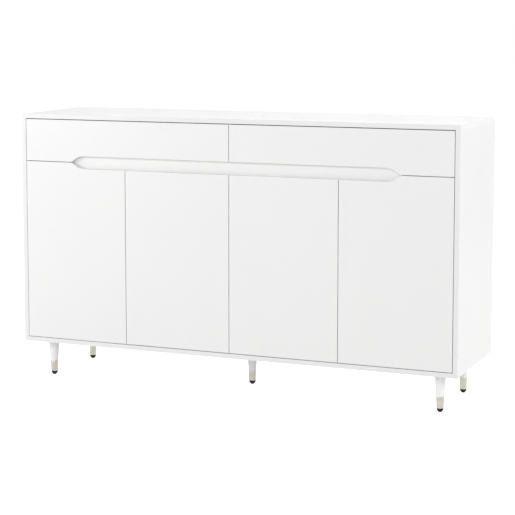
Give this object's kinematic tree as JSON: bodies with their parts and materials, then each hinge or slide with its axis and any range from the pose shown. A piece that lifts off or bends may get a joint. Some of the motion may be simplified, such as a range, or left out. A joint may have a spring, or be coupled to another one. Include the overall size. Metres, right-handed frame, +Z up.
{
  "type": "sideboard buffet",
  "caption": "Low sideboard buffet with drawers over hinged doors, a long finger recess between them, and round tapered legs with metal ferrules.",
  "frame": {"origin": "on the floor, under the middle of the width and depth", "axes": "+X along the width to the right as seen from the front, -Y out of the front, +Z up"},
  "size_m": [1.5, 0.42, 0.89],
  "materials": {
    "white_lacquered_board": "satin white lacquer on board",
    "white_hardboard": "white coated hardboard",
    "white_leg_paint": "satin white paint on turned wood",
    "satin_nickel": "satin, warm silver",
    "zinc_steel": "bright zinc plate",
    "black_glide": "moulded black plastic",
    "beech_dowel": "plain beech",
    "clear_bumper": "soft clear pad"
  },
  "bodies": {
    "cabinet": {"cam_bolts": "zinc_steel", "cam_locks": "zinc_steel", "centre_divider": "white_lacquered_board", "dowels": "beech_dowel", "front_left_leg": "white_leg_paint", "front_right_leg": "white_leg_paint", "hinge_plates": "zinc_steel", "left_back_panel": "white_hardboard", "left_bottom_panel": "white_lacquered_board", "left_drawer_deck": "white_lacquered_board", "left_drawer_outer_runners": "zinc_steel", "left_inner_door_hinge_arms": "zinc_steel", "left_outer_door_hinge_arms": "zinc_steel", "left_recess_rail": "white_lacquered_board", "left_shelf": "white_lacquered_board", "left_side_panel": "white_lacquered_board", "left_top_panel": "white_lacquered_board", "leg_ferrules": "satin_nickel", "leg_glides": "black_glide", "leg_hanger_bolts": "zinc_steel", "leg_insert_nuts": "zinc_steel", "middle_leg": "white_leg_paint", "middle_leg_plate": "zinc_steel", "panel_screws": "zinc_steel", "rail_bumpers": "clear_bumper", "rear_left_leg": "white_leg_paint", "rear_right_leg": "white_leg_paint", "right_back_panel": "white_hardboard", "right_bottom_panel": "white_lacquered_board", "right_drawer_deck": "white_lacquered_board", "right_drawer_outer_runners": "zinc_steel", "right_inner_door_hinge_arms": "zinc_steel", "right_outer_door_hinge_arms": "zinc_steel", "right_recess_rail": "white_lacquered_board", "right_shelf": "white_lacquered_board", "right_side_panel": "white_lacquered_board", "right_top_panel": "white_lacquered_board", "shelf_pins": "zinc_steel"},
    "left_drawer": {"left_drawer_back": "white_lacquered_board", "left_drawer_bottom": "white_hardboard", "left_drawer_divider_side": "white_lacquered_board", "left_drawer_front": "white_lacquered_board", "left_drawer_inner_runners": "zinc_steel", "left_drawer_outer_side": "white_lacquered_board"},
    "left_runner_middles": {"left_drawer_middle_runners": "zinc_steel"},
    "left_inner_door": {"left_inner_door": "white_lacquered_board", "left_inner_door_hinge_cups": "zinc_steel"},
    "left_outer_door": {"left_outer_door": "white_lacquered_board", "left_outer_door_hinge_cups": "zinc_steel"},
    "right_drawer": {"right_drawer_back": "white_lacquered_board", "right_drawer_bottom": "white_hardboard", "right_drawer_divider_side": "white_lacquered_board", "right_drawer_front": "white_lacquered_board", "right_drawer_inner_runners": "zinc_steel", "right_drawer_outer_side": "white_lacquered_board"},
    "right_runner_middles": {"right_drawer_middle_runners": "zinc_steel"},
    "right_inner_door": {"right_inner_door": "white_lacquered_board", "right_inner_door_hinge_cups": "zinc_steel"},
    "right_outer_door": {"right_outer_door": "white_lacquered_board", "right_outer_door_hinge_cups": "zinc_steel"}
  },
  "joints": [
    {"name": "left_drawer_slide", "type": "slide", "parent": "cabinet", "child": "left_drawer", "axis": [0, -1, 0], "range_m": [0, 0.33]},
    {"name": "left_runner_slide", "type": "slide", "parent": "cabinet", "child": "left_runner_middles", "axis": [0, -1, 0], "range_m": [0, 0.165]},
    {"name": "right_drawer_slide", "type": "slide", "parent": "cabinet", "child": "right_drawer", "axis": [0, -1, 0], "range_m": [0, 0.33]},
    {"name": "right_runner_slide", "type": "slide", "parent": "cabinet", "child": "right_runner_middles", "axis": [0, -1, 0], "range_m": [0, 0.165]},
    {"name": "left_outer_door_hinge", "type": "hinge", "parent": "cabinet", "child": "left_outer_door", "pos_m": [-0.733, -0.21, 0.44], "axis": [0, 0, -1], "range_deg": [0, 100]},
    {"name": "left_inner_door_hinge", "type": "hinge", "parent": "cabinet", "child": "left_inner_door", "pos_m": [-0.001, -0.21, 0.44], "axis": [0, 0, 1], "range_deg": [0, 90]},
    {"name": "right_inner_door_hinge", "type": "hinge", "parent": "cabinet", "child": "right_inner_door", "pos_m": [0.001, -0.21, 0.44], "axis": [0, 0, -1], "range_deg": [0, 90]},
    {"name": "right_outer_door_hinge", "type": "hinge", "parent": "cabinet", "child": "right_outer_door", "pos_m": [0.733, -0.21, 0.44], "axis": [0, 0, 1], "range_deg": [0, 100]}
  ],
  "couplings": [
    {"joint": "left_runner_slide", "follows": "left_drawer_slide", "ratio": 0.5},
    {"joint": "right_runner_slide", "follows": "right_drawer_slide", "ratio": 0.5}
  ]
}
